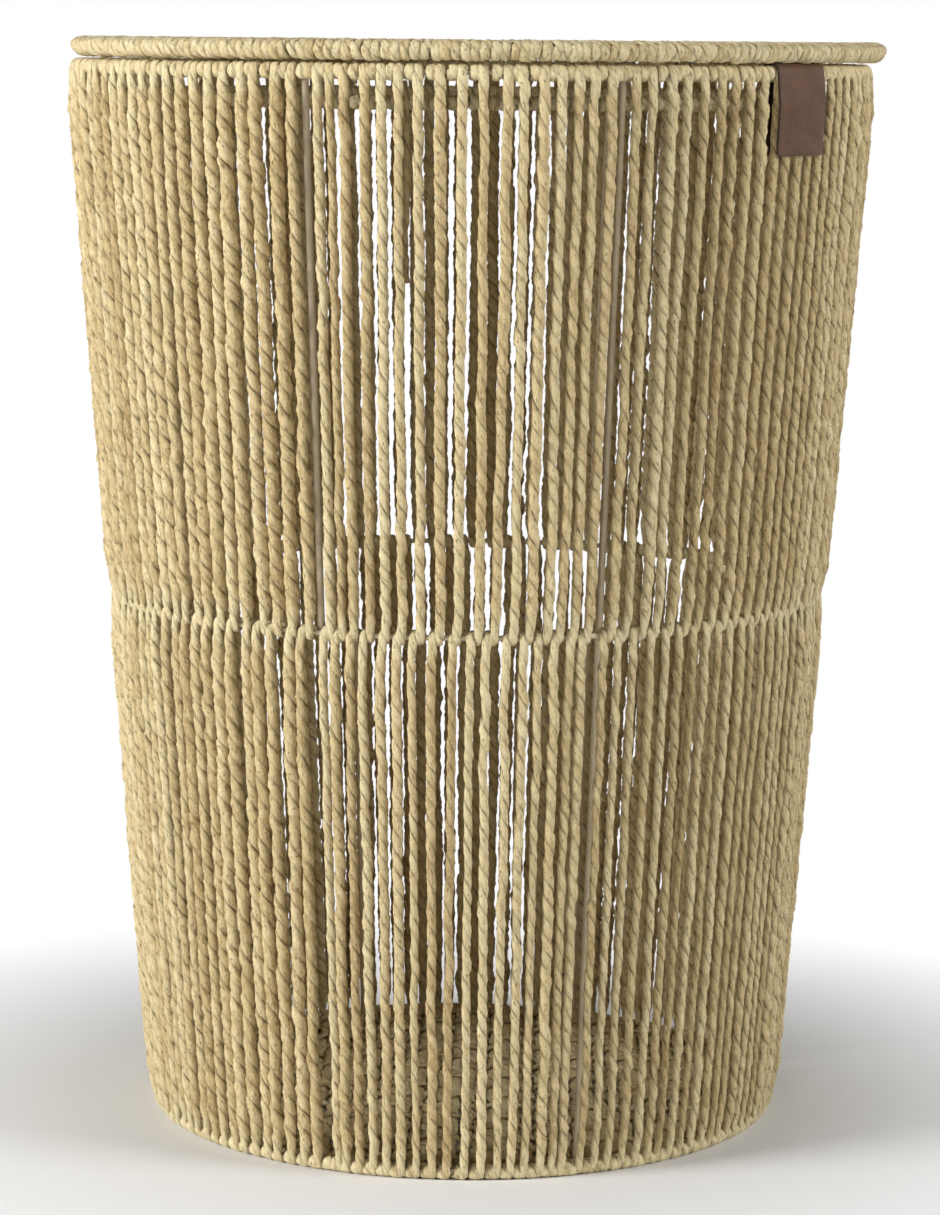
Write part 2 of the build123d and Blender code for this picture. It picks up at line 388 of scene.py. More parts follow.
wall = {
    "bays": ("front", "front_right", "right", "back_right", "back", "back_left", "left", "front_left"),
    "cordsPerBay": 17,
    "firstUpright": -112.5,
    "uprightGap": 0.7,  # from an upright to the first cord, in pitches
    "frontLean": 1.1,  # degrees that the gap at a front upright lies nearer to the front
    "frontCrowd": 1.0,  # degrees that the front cords crowd away from the middle of their bay
    # at each ring: degrees that a cord goes round it, half the cord's width there, its hook sideways
    "topEnd": {"turn": 300, "half": 2.6 * mm, "lean": -0.5 * mm},
    "overEnd": {"turn": 235, "half": 2.15 * mm, "lean": 1.4 * mm},
    "underEnd": {"turn": -235, "half": 2.15 * mm, "lean": -1.4 * mm},
    "bottomEnd": {"turn": -300, "half": 2.05 * mm, "lean": -0.8 * mm},
    "hookAtRing": 0.35,  # share of the hook where the cord meets the ring
    # half the thickness of the cords in each bay
    "upperHalfThick": np.array([2.4, 2.3, 2.65, 3.5, 3.2, 3.1, 3.2, 3.15]) * mm,
    "lowerHalfThick": np.array([2.25, 1.98, 2.3, 3.4, 3.0, 3.0, 3.0, 2.9]) * mm,
    "ringRough": 0.4,  # the paper lies smoother where it is pulled round a ring, with weaker painted valley shade and a tone painted lighter there
    "proud": 2.4 * mm,  # the cords stand out beyond the rings in the middle of a tier
    "proudAtRing": 0.3 * mm,
    "bulge": 26 * mm,  # from a ring to the full stand-out
    "jitter": 0.6 * mm,
    "tailAngle": -98.2,  # a cord end left hanging inside the wall
    "tailLength": 92 * mm,
    "tailInset": 6 * mm,
    "tailHalfThick": 2.25 * mm,
    "seed": 11,
}
bayAngle = 360 / len(wall["bays"])


def gapAngle(number):  # middle of the wide gap at an upright
    lean = {0: wall["frontLean"], 1: -wall["frontLean"]}.get(number % len(wall["bays"]), 0.0)
    return wall["firstUpright"] + number * bayAngle + lean


def bayPlaces(bay):  # directions of the upper and the lower cords in one bay, and their pitch
    start, end = gapAngle(bay), gapAngle(bay + 1)
    pitch = (end - start) / (wall["cordsPerBay"] - 1 + 2 * wall["uprightGap"])
    upper = start + (wall["uprightGap"] + np.arange(wall["cordsPerBay"])) * pitch
    if wall["bays"][bay] == "front":
        upper = upper - wall["frontCrowd"] * np.sin(np.linspace(0, circle, len(upper)))
    return upper, upper - pitch / 2, pitch


def easeIn(distance):  # from flat at a ring to round in the wall
    return smooth(np.clip(distance / cord["easing"], 0, 1))


def roundRing(end):  # the stretch that goes round a ring, from the wall inwards
    ring = end["ring"]
    reach = ring["thickness"] / 2 - cord["flat"]
    angles = np.radians(np.linspace(0, end["turn"], cord["arcSteps"] + 1))
    out = ring["radius"] + reach * np.cos(angles)
    up = ring["height"] + reach * np.sin(angles)
    return out, up, np.abs(angles) / np.radians(abs(end["turn"]))


def hookRound(turned):  # share of the sideways hook along the turn round a ring
    return wall["hookAtRing"] + (1 - wall["hookAtRing"]) * np.sin(turned * np.pi)


def hookNear(distance):  # and along the wall beside the ring
    return wall["hookAtRing"] * (1 - easeIn(distance))


def stringCord(store, degreesRound, girth, low, high, rng):
    lowOut, lowUp, lowTurned = (part[::-1] for part in roundRing(low))
    highOut, highUp, highTurned = roundRing(high)
    lowZero, highZero = np.zeros_like(lowOut), np.zeros_like(highOut)
    lowOuter = low["ring"]["radius"] + low["ring"]["thickness"] / 2
    highOuter = high["ring"]["radius"] + high["ring"]["thickness"] / 2
    rise = high["ring"]["height"] - low["ring"]["height"]
    share = np.linspace(0, 1, int(rise / cord["step"]))[1:-1]
    fromRing = np.minimum(share, 1 - share) * rise
    ease = easeIn(fromRing)
    unlike = np.clip(rng.normal(0, cord["unlike"]), -cord["mostUnlike"], cord["mostUnlike"])
    radius = girth * (1 + unlike)
    inset = cord["flat"] + (girth - cord["flat"]) * ease
    bulge = np.clip(fromRing / wall["bulge"], 0, 1)
    proud = wall["proudAtRing"] + (wall["proud"] - wall["proudAtRing"]) * bulge * (2 - bulge)
    wallOut = lowOuter + share * (highOuter - lowOuter) - inset + proud
    wallUp = low["ring"]["height"] + share * rise
    out = np.concatenate([lowOut, wallOut, highOut])
    up = np.concatenate([lowUp, wallUp, highUp])
    run = runAlong(np.stack([out, up], -1))
    ease = np.concatenate([lowZero, ease, highZero])
    slide = np.concatenate([lowZero, share, highZero + 1])
    width = np.where(slide < 0.5, low["half"], high["half"])
    lowHook = np.concatenate([hookRound(lowTurned), hookNear(share * rise), highZero])
    highHook = np.concatenate([lowZero, hookNear((1 - share) * rise), hookRound(highTurned)])
    lowJitter = rng.normal(0, wall["jitter"])
    highJitter = rng.normal(0, wall["jitter"])
    side = low["lean"] * lowHook + high["lean"] * highHook
    side = side + lowJitter * (1 - slide) + highJitter * slide
    side = side + wander(rng, run, cord["waveLength"], cord["wave"]) * ease
    out = out + wander(rng, run, cord["waveLength"], cord["waveOut"]) * ease
    route = inSpace(origin, degreesRound, out, side, up)
    facing = inSpace(origin, degreesRound, np.gradient(up), np.zeros_like(out), -np.gradient(out))
    halfThick = cord["flat"] + (radius - cord["flat"]) * ease
    halfWide = width + (radius - width) * ease
    rough = wall["ringRough"] + (1 - wall["ringRough"]) * ease
    twistCord(store, route, facing, halfThick, halfWide, rng, rough=rough)


def hangTail(store, rng):
    top = topRing["height"] - topRing["thickness"] / 2
    up = np.linspace(top, top - wall["tailLength"], int(wall["tailLength"] / cord["step"]))
    run = top - up
    out = topRing["radius"] - wall["tailInset"] - wallSlope * run
    side = wander(rng, run, cord["waveLength"], cord["wave"])
    zero = np.zeros_like(up)
    route = inSpace(origin, wall["tailAngle"], out, side, up)
    facing = inSpace(origin, wall["tailAngle"], zero + 1, zero, zero)
    girth = np.full(len(up), wall["tailHalfThick"])
    twistCord(store, route, facing, girth, girth, rng)


def stringWall():
    tiers = {
        "upper": (dict(wall["underEnd"], ring=middleRing), dict(wall["topEnd"], ring=topRing)),
        "lower": (dict(wall["bottomEnd"], ring=bottomRing), dict(wall["overEnd"], ring=middleRing)),
    }
    for column, (tier, (low, high)) in enumerate(tiers.items()):
        for bay, place in enumerate(wall["bays"]):
            rng = np.random.default_rng([wall["seed"], bay, column])
            store = newStore()
            girth = wall[f"{tier}HalfThick"][bay]
            for angle in bayPlaces(bay)[column]:
                stringCord(store, angle, girth, low, high, rng)
            if (tier, place) == ("upper", "front"):
                hangTail(store, rng)
            node = f"{tier}_cords_{place}"
            makePiece(f"{tier}_strung_{place}", store, cordMaterial, "basket", "paper_cord", node)
        print(tier, "tier strung")


stringWall()


# rings: turns of cord bound over a wire

binding = {
    "wire": 2.6 * mm,
    "wireRows": 160,
    "loopSteps": 22,
    "topHalfWidth": 2.75 * mm,
    "bottomHalfWidth": 3.1 * mm,
    "widthUnlike": 0.05,
    "bottomShift": -0.38,  # of the pitch, from a cord to the turn beside its foot
    "extraShift": -0.9,  # of the pitch, from a bay's first cord to the extra turn at its upright
    "gapShare": 0.24,  # of the pitch, from the middle of an upright's gap to its two turns
    "slant": 0.35 * mm,
    "slantShift": 0.4,  # radians that the slant may start early or late
    "loose": 0.12 * mm,
    "jitter": 0.15 * mm,
    "seed": 23,
}


def bindTurn(store, ring, degreesRound, halfWide, rng, sag=0.0, slant=binding["slant"]):
    angles = np.linspace(0, circle, binding["loopSteps"], endpoint=False)
    loose = abs(rng.normal(0, binding["loose"]))
    reachUp = ring["thickness"] / 2 - cord["flat"] - loose
    reachOut = ring.get("halfAcross", ring["thickness"] / 2) - cord["flat"] - loose
    low = smooth(np.clip(-np.sin(angles), 0, 1))  # how far under the ring
    out = ring["radius"] + reachOut * np.cos(angles)
    up = ring["height"] + reachUp * np.sin(angles) - sag * low
    late = rng.uniform(-binding["slantShift"], binding["slantShift"])
    side = slant * np.sin(angles + late) + rng.normal(0, binding["jitter"])
    route = inSpace(ring["middle"], degreesRound, out, side, up)
    faceOut, faceUp = reachUp * np.cos(angles), reachOut * np.sin(angles)
    facing = inSpace(origin, degreesRound, faceOut, np.zeros_like(angles), faceUp)
    thick = np.full(len(angles), cord["flat"])
    wide = np.full(len(angles), halfWide * (1 + rng.normal(0, binding["widthUnlike"])))
    rough = ring.get("rough", wall["ringRough"])
    twistCord(store, route, facing, thick, wide, rng, closed=True, rough=rough)


def bindRing(name, node, ring, angles, halfWide):
    rng = np.random.default_rng([binding["seed"], len(angles), len(name)])
    store = newStore()
    for angle in angles:
        bindTurn(store, ring, angle, halfWide, rng)
    makePiece(name, store, cordMaterial, "basket", "paper_cord", node)


def bindBasketRings():
    topTurns, bottomTurns = [], []
    for bay in range(len(wall["bays"])):
        lower, pitch = bayPlaces(bay)[1:]
        besideGap = pitch * binding["gapShare"] * np.array([-1, 1])
        topTurns += [*lower[1:], *(gapAngle(bay) + besideGap)]
        bottomTurns += [*(lower + binding["bottomShift"] * pitch)]
        bottomTurns += [lower[0] + binding["extraShift"] * pitch]
    bindRing("top_ring_turns", "top_ring", topRing, topTurns, binding["topHalfWidth"])
    bindRing("bottom_ring_turns", "bottom_ring", bottomRing, bottomTurns, binding["bottomHalfWidth"])


bindBasketRings()
print("rings bound")


# painted wires: ring cores, uprights, lid bars and posts

wire = {
    "sides": 16,
    "uprightThick": 3.4 * mm,
    "rounding": (0.0, 0.45, 0.8, 1.0),  # how the cut ends round off
    "endDeep": 0.5,  # of the radius, how far the rounding reaches in
    "endLeast": 0.04,  # square of the share of the radius that the end face keeps
    "steep": 0.7,  # climb above which a tube's sections start from +X, not from +Z
    "paint": (0.74, 0.625, 0.435),
    "paintDark": (0.6, 0.5, 0.34),
    "mottle": 160,  # noise per metre
    "streak": 35,
    "tintShare": (0.14, 0.36),  # from the dark paint to the full one
    "rough": (0.6, 0.48),
    "bumpStrength": 0.2,
    "bumpDeep": 0.12 * mm,
}


def makeWireMaterial():
    material, tree, shader = newMaterial("painted_wire")
    place = objectPlace(tree)
    mottle = noiseAt(tree, place, wire["mottle"], detail=4.0)
    streak = noiseAt(tree, place, wire["streak"], detail=2.0)
    tintShare = spread(tree, joinValues(tree, "MULTIPLY", mottle, streak), *wire["tintShare"])
    feedNode(tree, shader, {
        "Base Color": mixColour(tree, tintShare, wire["paintDark"], wire["paint"]),
        "Roughness": spread(tree, mottle, *noiseRange, *wire["rough"]),
        "Normal": bumpFrom(tree, mottle, wire["bumpStrength"], wire["bumpDeep"]),
    })
    return material


def tubeInto(store, route, radii, closed=False, sides=wire["sides"]):
    rows = len(route)
    heading = headingOf(route, closed)
    guide = np.where(np.abs(heading[:, 2:3]) > wire["steep"], rightward[None, :], upward[None, :])
    facing = squareTo(heading, guide)
    sideways = np.cross(heading, facing)
    angle = (circle * np.arange(sides) / sides)[None, :, None]
    ring = np.cos(angle) * facing[:, None, :] + np.sin(angle) * sideways[:, None, :]
    store["points"].append((route[:, None, :] + ring * radii[:, None, None]).reshape(-1, 3))
    store["paintedShadesAndCutEdges"].append(np.zeros(rows * sides))
    store["tonesAndRingLight"].append(np.full(rows * sides, cord["plainTone"]))
    skinRows(store, rows, sides, runAlong(route), 0.0, closed)


def straightWire(store, first, second, diameter):
    along = unit(second - first)
    radius = diameter / 2
    swell = np.array(wire["rounding"])
    inset = radius * wire["endDeep"] * swell
    radii = radius * np.sqrt(np.clip(1 - (1 - swell) ** 2, wire["endLeast"], 1))
    startRows = first + inset[:, None] * along
    endRows = second - inset[::-1, None] * along
    tubeInto(store, np.concatenate([startRows, endRows]), np.concatenate([radii, radii[::-1]]))


def nodePoints(node):
    return np.array([corner.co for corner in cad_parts[node].data.vertices])


def wireEnds(points, axis):  # middle of the faces at both ends of a straight CAD wire
    halfway = (points[:, axis].min() + points[:, axis].max()) / 2
    low, high = points[points[:, axis] < halfway], points[points[:, axis] >= halfway]
    return low.mean(axis=0), high.mean(axis=0)


def bendRingWire(name, ring, body, *nodes):
    store = newStore()
    angles = circle * np.arange(binding["wireRows"]) / binding["wireRows"]
    height = np.full(len(angles), ring["height"])
    route = np.stack([ring["radius"] * np.cos(angles), ring["radius"] * np.sin(angles), height], -1)
    tubeInto(store, ring["middle"] + route, np.full(len(angles), binding["wire"] / 2), closed=True)
    makePiece(name, store, wireMaterial, body, "frame_wire", *nodes)


def setWires():
    for node in sorted(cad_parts):
        onLid = node.startswith("lid_bar_")
        if not onLid and not node.startswith("upright_"):
            continue
        points = nodePoints(node)
        thick = np.ptp(points[:, 0]) if onLid else wire["uprightThick"]
        store = newStore()
        straightWire(store, *wireEnds(points, 1 if onLid else 2), thick)
        makePiece(node + "_wire", store, wireMaterial, "lid" if onLid else "basket", "frame_wire", node)


def setPosts():
    points = nodePoints("lid_posts")
    fromMiddle = points - (points.min(axis=0) + points.max(axis=0)) / 2
    store = newStore()
    for signX in (-1, 1):
        for signY in (-1, 1):
            post = points[(fromMiddle[:, 0] * signX > 0) & (fromMiddle[:, 1] * signY > 0)]
            straightWire(store, *wireEnds(post, 2), np.ptp(post[:, 0]))
    makePiece("lid_post_wires", store, wireMaterial, "lid", "frame_wire", "lid_posts")


wireMaterial = makeWireMaterial()
lidRim, locatingRing = ringOf("lid_rim"), ringOf("lid_locating_ring")
bendRingWire("top_ring_wire", topRing, "basket")
bendRingWire("middle_ring_wire", middleRing, "basket", "middle_ring")
bendRingWire("bottom_ring_wire", bottomRing, "basket")
bendRingWire("lid_rim_wire", lidRim, "lid")
bendRingWire("locating_ring_wire", locatingRing, "lid")
setWires()
setPosts()
print("wires set")


# lid: flat bound rim with low turns, locating ring with loose fibres

lid = {
    "turnPitch": 4.6 * mm,
    "turnHalfWidth": 2.5 * mm,
    "rimAcross": 16 * mm,
    "rimThick": 7.4 * mm,
    "turnDrop": 2.75 * mm,  # the turns sag under the rim
    "drops": (0.8, 1.05),  # least and most, as shares
    "lowDrops": (0.8, 1),
    "widths": (0.9, 1.2),
    "lowHalfWidth": 2.3 * mm,
    "slant": 0.9 * mm,
    "slants": (-0.2, 1.2),
    "rough": 0.6,
    "turnApart": 1.5,  # degrees between low turns that show where one ends and the next starts
    "fibres": 260,
    "fibreRadius": 0.11 * mm,
    "fibreLength": (6.4 * mm, 19.2 * mm),
    "fibreBow": 0.4,  # shares of the length
    "fibreRise": (-0.7, 0.45),
    "fibreTaper": 0.6,
    "fibreRows": 7,
    "fibreSides": 4,
    "seed": 31,
}


def turnAngles(node, middle):  # directions of the separate turns in a CAD node
    points = nodePoints(node)
    around = np.sort(np.degrees(np.arctan2(points[:, 1] - middle[1], points[:, 0] - middle[0])))
    breaks = np.flatnonzero(np.diff(around) > lid["turnApart"])
    return [group.mean() for group in np.split(around, breaks + 1)]


def bindLid():
    rng = np.random.default_rng([lid["seed"], 1])
    outer = lidRim["radius"] + lidRim["thickness"] / 2
    top = lidRim["height"] + lidRim["thickness"] / 2
    flatRim = dict(
        lidRim,
        radius=outer - lid["rimAcross"] / 2,
        halfAcross=lid["rimAcross"] / 2,
        thickness=lid["rimThick"],
        height=top - lid["rimThick"] / 2,
        rough=lid["rough"],
    )
    store = newStore()
    count = round(circle * outer / lid["turnPitch"])
    for number in range(count):
        sag = lid["turnDrop"] * rng.uniform(*lid["drops"])
        slant = lid["slant"] * rng.uniform(*lid["slants"])
        half = lid["turnHalfWidth"] * rng.uniform(*lid["widths"])
        bindTurn(store, flatRim, 360 * number / count, half, rng, sag, slant)
    makePiece("lid_rim_turns", store, cordMaterial, "lid", "paper_cord", "lid_rim")
    store = newStore()
    lowDrop = top - lid["rimThick"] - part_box("lid_rest_turns")[0].z
    for angle in turnAngles("lid_rest_turns", lidRim["middle"]):
        sag = lowDrop * rng.uniform(*lid["lowDrops"])
        bindTurn(store, flatRim, angle, lid["lowHalfWidth"], rng, sag, lid["slant"])
    makePiece("lid_low_turns", store, cordMaterial, "lid", "paper_cord", "lid_rest_turns")


def frayRing(store, rng):  # frayed ends standing off the locating ring
    share = np.linspace(0, 1, lid["fibreRows"])
    for number in range(lid["fibres"]):
        length = rng.uniform(*lid["fibreLength"])
        lean = rng.uniform(-1, 1) * length
        bow = rng.uniform(-lid["fibreBow"], lid["fibreBow"]) * length * share * (1 - share)
        rise = rng.uniform(*lid["fibreRise"]) * length
        reach = locatingRing["thickness"] / 2 * rng.choice([-1, 1])
        out = locatingRing["radius"] + reach * (1 - share**2 / 2)
        up = locatingRing["height"] + rise * share + bow / 2
        route = inSpace(locatingRing["middle"], rng.uniform(0, 360), out, lean * share + bow, up)
        radii = lid["fibreRadius"] * (1 - lid["fibreTaper"] * share)
        tubeInto(store, route, radii, sides=lid["fibreSides"])


def bindLocatingRing():
    rng = np.random.default_rng([lid["seed"], 2])
    store = newStore()
    count = round(circle * locatingRing["radius"] / lid["turnPitch"])
    for number in range(count):
        bindTurn(store, locatingRing, 360 * number / count, lid["turnHalfWidth"], rng)
    frayRing(store, rng)
    makePiece("locating_ring_turns", store, cordMaterial, "lid", "paper_cord", "lid_locating_ring")


bindLid()
bindLocatingRing()
print("lid bound")


# woven panels of the lid and the base

weave = {
    "lidPitch": (8.5 * mm, 20 * mm),  # from strand to strand across and along the lid
    "basePitch": (6.2 * mm, 19 * mm),
    "halfThick": 1.5 * mm,
    "lidHalfWidth": 2.5 * mm,
    "baseHalfWidth": 2.9 * mm,
    "lift": 1.35 * mm,
    "step": 2.4 * mm,
    "tuck": 2.0 * mm,  # how far the ends run in under the rim's turns
    "shortest": 2,  # half the length of the shortest strand, in pitches
    "jitter": 0.3 * mm,
    "swayLength": 30 * mm,
    "seed": 41,
}


def weavePanel(name, node, body, pitches, halfWidth, seed):
    rng = np.random.default_rng([weave["seed"], seed])
    low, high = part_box(node)
    middle = np.array([(low.x + high.x) / 2, (low.y + high.y) / 2, (low.z + high.z) / 2])
    radius = (high.x - low.x) / 2 + weave["tuck"]
    store = newStore()
    for direction, pitch, other, sign in ((1, *pitches, 1), (0, *pitches[::-1], -1)):
        half = int(radius / pitch - 0.5)
        for number in range(-half - 1, half + 1):
            across = (number + 0.5) * pitch
            reach = np.sqrt(max(radius**2 - across**2, 0))
            if reach < weave["shortest"] * pitch:
                continue
            along = np.linspace(-reach, reach, int(2 * reach / weave["step"]))
            parity = 1 if number % 2 == 0 else -1
            route = np.zeros((len(along), 3)) + middle
            route[:, direction] += along
            across = across + rng.normal(0, weave["jitter"])
            sway = wander(rng, along - along[0], weave["swayLength"], weave["jitter"])
            route[:, 1 - direction] += across + sway
            route[:, 2] += sign * parity * weave["lift"] * np.sin(np.pi * along / other)
            facing = np.tile(upward, (len(along), 1))
            thick = np.full(len(along), weave["halfThick"])
            wide = np.full(len(along), halfWidth)
            twistCord(store, route, facing, thick, wide, rng)
    makePiece(name, store, cordMaterial, body, "paper_cord", node)


weavePanel("lid_weave", "lid_panel", "lid", weave["lidPitch"], weave["lidHalfWidth"], 1)
weavePanel("base_weave", "base_panel", "basket", weave["basePitch"], weave["baseHalfWidth"], 2)
print("panels woven")


# leather tab folded over the top ring, and its stitches

tab = {
    "width": 36 * mm,
    "thickness": 1.4 * mm,
    "clear": 0.35 * mm,  # between the leather and the cords under it
    "corner": 1.6 * mm,
    "bevel": 0.28 * mm,
    "bevelSoft": 0.3,  # of the bevel, where its corner is taken off
    "endThin": 0.7,  # of the thickness, at the two cut ends
    "columns": 17,
    "rowStep": 1.0 * mm,
    "foldSteps": 16,
    "innerSlope": 0.3,  # of the wall's slope, on the leaf inside
    "settle": 14 * mm,  # from the fold to where the front leaf lies on the cords
    "flare": 0.6 * mm,  # the loose lower edge stands off the wall
    "stitchAbove": 6.5 * mm,
    "stitchApart": 20 * mm,
    "stitchLength": 3.6 * mm,
    "stitchThick": 0.9 * mm,
    "stitchRows": 9,
    "stitchSunk": 0.12,  # of its thickness, below the leather in its middle
    "stitchDip": 0.55,  # and how much deeper at its ends
    "dent": 0.35 * mm,
    "dentShort": 1.6,  # a dent fades this much faster than the stitch is long
    "frontWear": 0.6,  # how far the cut edge's colour shows on the front near the edges, and on the back, where the whole face is painted darker as shade
    "backShade": 0.75,
    "brown": (0.108, 0.052, 0.026),
    "brownDark": (0.076, 0.036, 0.018),
    "edgeAndShadeBrown": (0.055, 0.034, 0.024),
    "threadDark": (0.035, 0.022, 0.015),
    "threadPale": (0.08, 0.05, 0.035),
    "cellScale": 1500.0,  # noise per metre
    "poreScale": 2600,
    "cloudScale": 90,
    "strandScale": 1800,
    "cellDark": (0.45, 0.8),  # from the middle of a cell to its dark seam
    "cellDepth": 0.25,
    "clouds": (0.32, 0.68),  # from the dark brown to the full one
    "rough": (0.62, 0.5),
    "cellSink": -0.7,
    "poreRise": 0.35,
    "bumpStrength": 0.3,
    "bumpDeep": 0.15 * mm,
}
tabLow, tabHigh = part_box("leather_tab")
tabAngle = np.arctan2(tabLow.y + tabHigh.y, tabLow.x + tabHigh.x)


def tabLine():  # radius and height along the leather, from its front edge over the ring and down inside
    reach = topRing["thickness"] / 2 + tab["clear"] + tab["thickness"] / 2
    drop = topRing["height"] - tabLow.z
    down = np.linspace(drop, 0, int(drop / tab["rowStep"]))
    back = down[::-1]
    flare = tab["flare"] * (down / drop) ** 3
    lying = wall["proud"] * np.clip(down / tab["settle"], 0, 1)  # the front leaf lies on the cords
    angles = np.linspace(0, np.pi, tab["foldSteps"])[1:-1]
    front = np.stack([reach - wallSlope * down + lying + flare, -down], -1)
    fold = np.stack([reach * np.cos(angles), reach * np.sin(angles)], -1)
    inner = np.stack([-reach - tab["innerSlope"] * wallSlope * back, -back], -1)
    return np.concatenate([front, fold, inner]) + [topRing["radius"], topRing["height"]]


def tabSection(width):
    half, deep, bevel = width / 2, tab["thickness"] / 2, tab["bevel"]
    soft = tab["bevelSoft"] * bevel
    across = np.linspace(-(half - bevel), half - bevel, tab["columns"])
    side = np.array([half - soft, half, half, half - soft])
    step = np.array([deep - soft, deep - bevel, -deep + bevel, -deep + soft])
    acrossAll = np.concatenate([across, side, across[::-1], -side])
    deepAll = np.concatenate([0 * across + deep, step, 0 * across - deep, step[::-1]])
    return acrossAll, deepAll


def stitchPlaces():
    return [(side * tab["stitchApart"] / 2, tabLow.z + tab["stitchAbove"]) for side in (-1, 1)]


def stitchDents(across, height):  # how far the stitches pull the leather in
    dents = np.zeros_like(across)
    for place, stitchHeight in stitchPlaces():
        aside = (across - place) / tab["stitchLength"] * tab["dentShort"]
        above = (height - stitchHeight) / tab["stitchThick"]
        dents += tab["dent"] * np.exp(-(aside**2 + above**2))
    return dents


def makeLeatherMaterial():
    material, tree, shader = newMaterial("brown_leather")
    place = objectPlace(tree)
    cells = addNode(tree, "ShaderNodeTexVoronoi", {"Vector": place, "Scale": tab["cellScale"]})
    cells = cells.outputs["Distance"]
    pores = noiseAt(tree, place, tab["poreScale"], detail=2.0)
    cloud = noiseAt(tree, place, tab["cloudScale"], detail=4.0)
    hide = mixColour(tree, spread(tree, cloud, *tab["clouds"]), tab["brownDark"], tab["brown"])
    seams = spread(tree, cells, *tab["cellDark"], 0.0, tab["cellDepth"])
    hide = mixColour(tree, seams, hide, tab["brownDark"])
    # the cut edges in their own colour, and the back face painted darker as shade
    hide = mixColour(tree, meshValue(tree, "paintedShadeAndCutEdge"), hide, tab["edgeAndShadeBrown"])
    sunkCells = joinValues(tree, "MULTIPLY", cells, tab["cellSink"])
    raisedPores = joinValues(tree, "MULTIPLY", pores, tab["poreRise"])
    height = joinValues(tree, "ADD", sunkCells, raisedPores)
    feedNode(tree, shader, {
        "Base Color": hide,
        "Roughness": spread(tree, cloud, *noiseRange, *tab["rough"]),
        "Specular IOR Level": 0.25,
        "Normal": bumpFrom(tree, height, tab["bumpStrength"], tab["bumpDeep"]),
    })
    return material


def makeThreadMaterial():
    material, tree, shader = newMaterial("waxed_thread")
    strand = noiseAt(tree, objectPlace(tree), tab["strandScale"], detail=2.0)
    thread = mixColour(tree, strand, tab["threadDark"], tab["threadPale"])
    feedNode(tree, shader, {"Base Color": thread, "Roughness": 0.6})
    return material


def foldTab():
    line = tabLine()
    run = runAlong(line)
    slope = np.gradient(line, axis=0)
    outOf = unit(np.stack([slope[:, 1], -slope[:, 0]], -1))
    fromEnd = np.minimum(run, run[-1] - run)
    short = np.clip(tab["corner"] - fromEnd, 0, tab["corner"])
    narrow = tab["corner"] - np.sqrt(np.clip(tab["corner"] ** 2 - short**2, 0, None))
    points, tintShare = [], []
    for row, (radius, height) in enumerate(line):
        atEnd = row in (0, len(line) - 1)
        across, deep = tabSection(tab["width"] - 2 * narrow[row])
        if atEnd:
            deep = deep * tab["endThin"]
        onFront = deep > 0
        if run[row] < run[-1] / 2:
            deep = deep - stitchDents(across, height) * onFront
        out = radius + outOf[row, 0] * deep
        up = height + outOf[row, 1] * deep
        angle = tabAngle + across / topRing["radius"]
        points.append(np.stack([out * np.cos(angle), out * np.sin(angle), up], -1))
        fromSide = tab["width"] / 2 - narrow[row] - np.abs(across)
        rim = np.clip(2 - fromSide / tab["bevel"], 0, 1)
        # painted shade: the whole back face goes most of the way to the edge colour, which shows on the
        # leaf hanging inside the basket
        edgeAndBackShade = np.where(onFront, tab["frontWear"] * rim, np.maximum(rim, tab["backShade"]))
        tintShare.append(np.maximum(edgeAndBackShade, float(atEnd)))
    store = newStore()
    store["points"].append(np.concatenate(points))
    store["paintedShadesAndCutEdges"].append(np.concatenate(tintShare))
    store["tonesAndRingLight"].append(np.full(len(store["paintedShadesAndCutEdges"][0]), cord["plainTone"]))
    skinRows(store, len(line), len(points[0]), run, 0.0, False)
    makePiece("folded_leather_tab", store, makeLeatherMaterial(), "basket", "brown_leather", "leather_tab")


def sewTab():
    line = tabLine()
    fold = len(line) // 2
    share = np.linspace(-1, 1, tab["stitchRows"])
    radii = np.full(len(share), tab["stitchThick"] / 2)
    store = newStore()
    for side, height in stitchPlaces():
        for leaf, sign in ((line[:fold], 1), (line[fold:], -1)):  # the front leaf, then the inner one
            row = np.argmin(np.abs(leaf[:, 1] - height))
            sunk = tab["stitchThick"] * (tab["stitchSunk"] + tab["stitchDip"] * share**2)
            out = leaf[row, 0] + sign * (tab["thickness"] / 2 - sunk)
            angles = tabAngle + (side + share * tab["stitchLength"] / 2) / topRing["radius"]
            route = np.stack([out * np.cos(angles), out * np.sin(angles), 0 * angles + height], -1)
            tubeInto(store, route, radii)
    makePiece("tab_thread", store, makeThreadMaterial(), "basket", "sewing_thread", "tab_stitches")


foldTab()
sewTab()
print("leather tab sewn on")


# camera and light

view = {
    "place": (1.8 * mm, -1951 * mm, 543 * mm),
    "tilt": 8.4,  # degrees that it looks down
    "roll": 0.5,
    "turn": 1.0,  # degrees round the basket's axis
    "lens": 114.25,
    "sensor": 36,
    "farthest": 50,
}
light = {
    "lamps": {
        "key": {"place": (-2.7, -1.3, 1.4), "size": 1.3, "power": 106},
        "fill": {"place": (2.7, -1.0, 1.6), "size": 1.3, "power": 60},
        "front": {"place": (-0.6, -3.1, 0.2), "size": 1.3, "power": 23},
    },
    "aim": (0, 0, 0.28),
    "skyStrength": 0.03,
}
floorLook = {
    "size": 120.0,
    "colour": (0.82, 0.82, 0.815),
    "patchColour": (0.8, 0.8, 0.8),
    "patchDepth": 0.04,
    "patchScale": 3.0,  # noise per metre
    "glowFrom": 0.17,  # distance from the basket's axis where the plain white starts to show
    "glowTo": 0.42,
}


